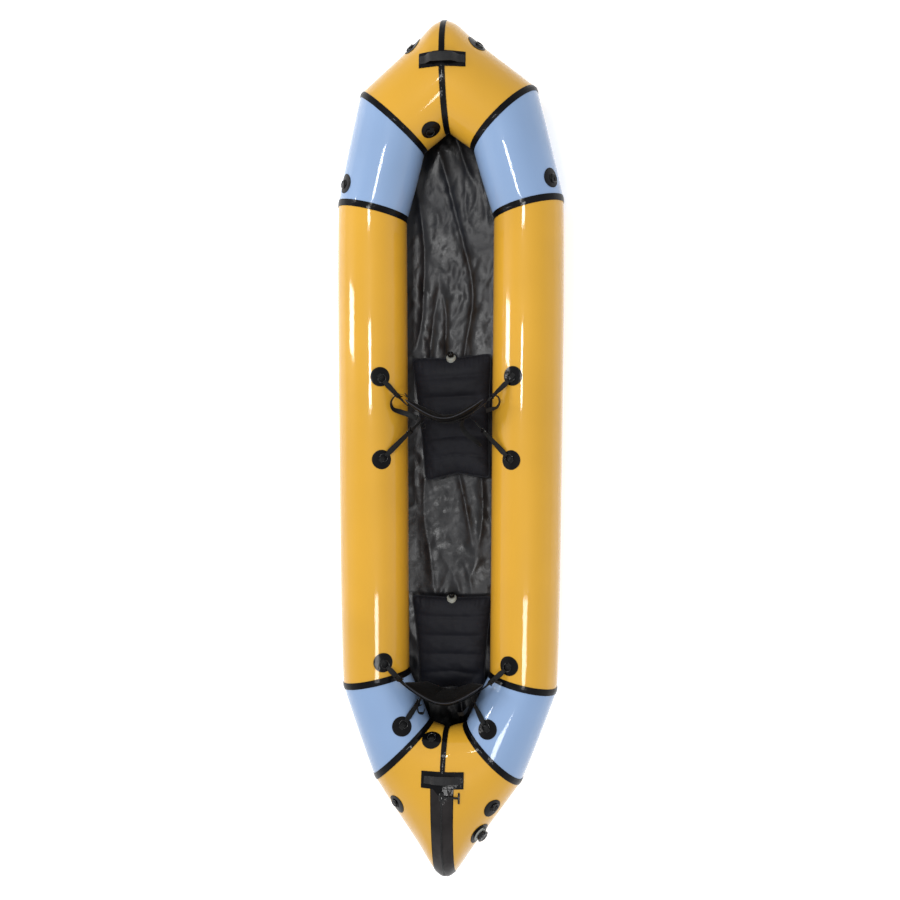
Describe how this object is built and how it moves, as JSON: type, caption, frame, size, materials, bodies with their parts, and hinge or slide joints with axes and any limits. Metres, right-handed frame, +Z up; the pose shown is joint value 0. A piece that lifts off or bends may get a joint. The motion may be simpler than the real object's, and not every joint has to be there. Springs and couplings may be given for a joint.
{
  "type": "packraft",
  "caption": "Two-seat inflatable packraft pointed at both ends, with inflatable seats, strapped backrests, a cargo zipper, grab handles and lashing rings.",
  "frame": {"origin": "on the ground under the middle of the hull, at the centre of the bounding box's base", "axes": "+Y towards the bow along the hull's length, +X to the right-hand side, +Z up"},
  "size_m": [0.891, 3.2963, 0.4443],
  "materials": {
    "yellow_fabric": "glossy coated fabric, golden yellow",
    "blue_fabric": "glossy coated fabric, light blue",
    "black_fabric": "glossy coated fabric, black",
    "floor_fabric": "satin coated fabric, charcoal",
    "cushion_fabric": "satin coated fabric, charcoal",
    "webbing": "woven webbing, black",
    "moulded_black": "moulded, black",
    "valve_plastic": "moulded, black"
  },
  "bodies": {
    "hull": {"bow_panel_left": "yellow_fabric", "front_quarter_left": "blue_fabric", "side_tube_left": "yellow_fabric", "rear_quarter_left": "blue_fabric", "stern_panel_left": "yellow_fabric", "bow_panel_right": "yellow_fabric", "front_quarter_right": "blue_fabric", "side_tube_right": "yellow_fabric", "rear_quarter_right": "blue_fabric", "stern_panel_right": "yellow_fabric", "bow_centre_tape": "black_fabric", "bow_mitre_tape_left": "black_fabric", "bow_mitre_tape_right": "black_fabric", "front_ring_tape_left": "black_fabric", "front_ring_tape_right": "black_fabric", "rear_ring_tape_left": "black_fabric", "rear_ring_tape_right": "black_fabric", "stern_mitre_tape_left": "black_fabric", "stern_mitre_tape_right": "black_fabric", "cargo_zipper_band": "black_fabric", "floor_panel": "floor_fabric", "bow_handle": "webbing", "stern_handle": "webbing", "main_valve_body": "black_fabric", "bow_side_left_patch": "black_fabric", "bow_side_right_patch": "black_fabric", "bow_deck_patch": "black_fabric", "front_quarter_left_patch": "black_fabric", "front_quarter_right_patch": "black_fabric", "stern_deck_patch": "black_fabric", "stern_side_left_patch": "black_fabric", "stern_side_right_patch": "black_fabric", "front_seat_fore_anchor_left": "black_fabric", "front_seat_fore_anchor_right": "black_fabric", "front_seat_aft_anchor_left": "black_fabric", "front_seat_aft_anchor_right": "black_fabric", "rear_seat_fore_anchor_left": "black_fabric", "rear_seat_fore_anchor_right": "black_fabric", "rear_seat_aft_anchor_left": "black_fabric", "rear_seat_aft_anchor_right": "black_fabric", "front_seat_cushion": "cushion_fabric", "rear_seat_cushion": "cushion_fabric"},
    "bow_side_left_ring": {"bow_side_left_ring": "moulded_black"},
    "bow_side_right_ring": {"bow_side_right_ring": "moulded_black"},
    "bow_deck_ring": {"bow_deck_ring": "moulded_black"},
    "front_quarter_left_ring": {"front_quarter_left_ring": "moulded_black"},
    "front_quarter_right_ring": {"front_quarter_right_ring": "moulded_black"},
    "stern_deck_ring": {"stern_deck_ring": "moulded_black"},
    "stern_side_left_ring": {"stern_side_left_ring": "moulded_black"},
    "stern_side_right_ring": {"stern_side_right_ring": "moulded_black"},
    "zipper_slider": {"cargo_zipper_slider": "moulded_black"},
    "main_valve_cap": {"main_valve_cap": "valve_plastic"},
    "front_seat_valve": {"front_seat_valve": "valve_plastic"},
    "front_backrest": {"front_backrest": "cushion_fabric", "front_backrest_fore_strap": "webbing", "front_backrest_aft_strap": "webbing"},
    "rear_seat_valve": {"rear_seat_valve": "valve_plastic"},
    "rear_backrest": {"rear_backrest": "cushion_fabric", "rear_backrest_fore_strap": "webbing", "rear_backrest_aft_strap": "webbing"}
  },
  "joints": [
    {"name": "bow_side_left_ring_hinge", "type": "hinge", "parent": "hull", "child": "bow_side_left_ring", "pos_m": [-0.12447, 1.54179, 0.31954], "axis": [0, 0.5914, -0.8064], "range_deg": [0, 170]},
    {"name": "bow_side_right_ring_hinge", "type": "hinge", "parent": "hull", "child": "bow_side_right_ring", "pos_m": [0.12447, 1.54179, 0.31954], "axis": [0, -0.5914, 0.8064], "range_deg": [0, 170]},
    {"name": "bow_deck_ring_hinge", "type": "hinge", "parent": "hull", "child": "bow_deck_ring", "pos_m": [-0.05428, 1.23244, 0.28173], "axis": [-0.7987, 0, 0.6018], "range_deg": [0, 170]},
    {"name": "front_quarter_left_ring_hinge", "type": "hinge", "parent": "hull", "child": "front_quarter_left_ring", "pos_m": [-0.40154, 1.05417, 0.23497], "axis": [0, 0.9906, -0.1364], "range_deg": [0, 170]},
    {"name": "front_quarter_right_ring_hinge", "type": "hinge", "parent": "hull", "child": "front_quarter_right_ring", "pos_m": [0.40154, 1.05417, 0.23497], "axis": [0, -0.9906, 0.1364], "range_deg": [0, 170]},
    {"name": "stern_deck_ring_hinge", "type": "hinge", "parent": "hull", "child": "stern_deck_ring", "pos_m": [-0.05029, -1.08187, 0.2782], "axis": [0.9992, 0, 0.039], "range_deg": [0, 170]},
    {"name": "stern_side_left_ring_hinge", "type": "hinge", "parent": "hull", "child": "stern_side_left_ring", "pos_m": [-0.1856, -1.33643, 0.28291], "axis": [0, 0.8701, 0.4929], "range_deg": [0, 170]},
    {"name": "stern_side_right_ring_hinge", "type": "hinge", "parent": "hull", "child": "stern_side_right_ring", "pos_m": [0.1856, -1.33643, 0.28291], "axis": [0, -0.8701, -0.4929], "range_deg": [0, 170]},
    {"name": "zipper_slider_travel", "type": "hinge", "parent": "hull", "child": "zipper_slider", "pos_m": [0, -1.35139, -0.13013], "axis": [1, 0, 0], "range_deg": [0, 26.3]},
    {"name": "main_valve_cap_twist", "type": "hinge", "parent": "hull", "child": "main_valve_cap", "pos_m": [0.13276, -1.43888, 0.26092], "axis": [0.733, -0.4875, 0.4744], "range_deg": [0, 120]},
    {"name": "front_seat_valve_twist", "type": "hinge", "parent": "hull", "child": "front_seat_valve", "pos_m": [-0.00427, 0.38311, 0.05491], "axis": [-0.042, 0.8017, 0.5962], "range_deg": [0, 120]},
    {"name": "rear_seat_valve_twist", "type": "hinge", "parent": "hull", "child": "rear_seat_valve", "pos_m": [0, -0.57977, 0.05479], "axis": [0, 0.8588, 0.5123], "range_deg": [0, 120]},
    {"name": "front_backrest_lift", "type": "hinge", "parent": "hull", "child": "front_backrest", "pos_m": [0, 0.2804, 0.25796], "axis": [-1, 0, 0], "range_deg": [0, 25]},
    {"name": "rear_backrest_lift", "type": "hinge", "parent": "hull", "child": "rear_backrest", "pos_m": [0, -0.82044, 0.25107], "axis": [-1, 0, 0], "range_deg": [0, 12]}
  ]
}
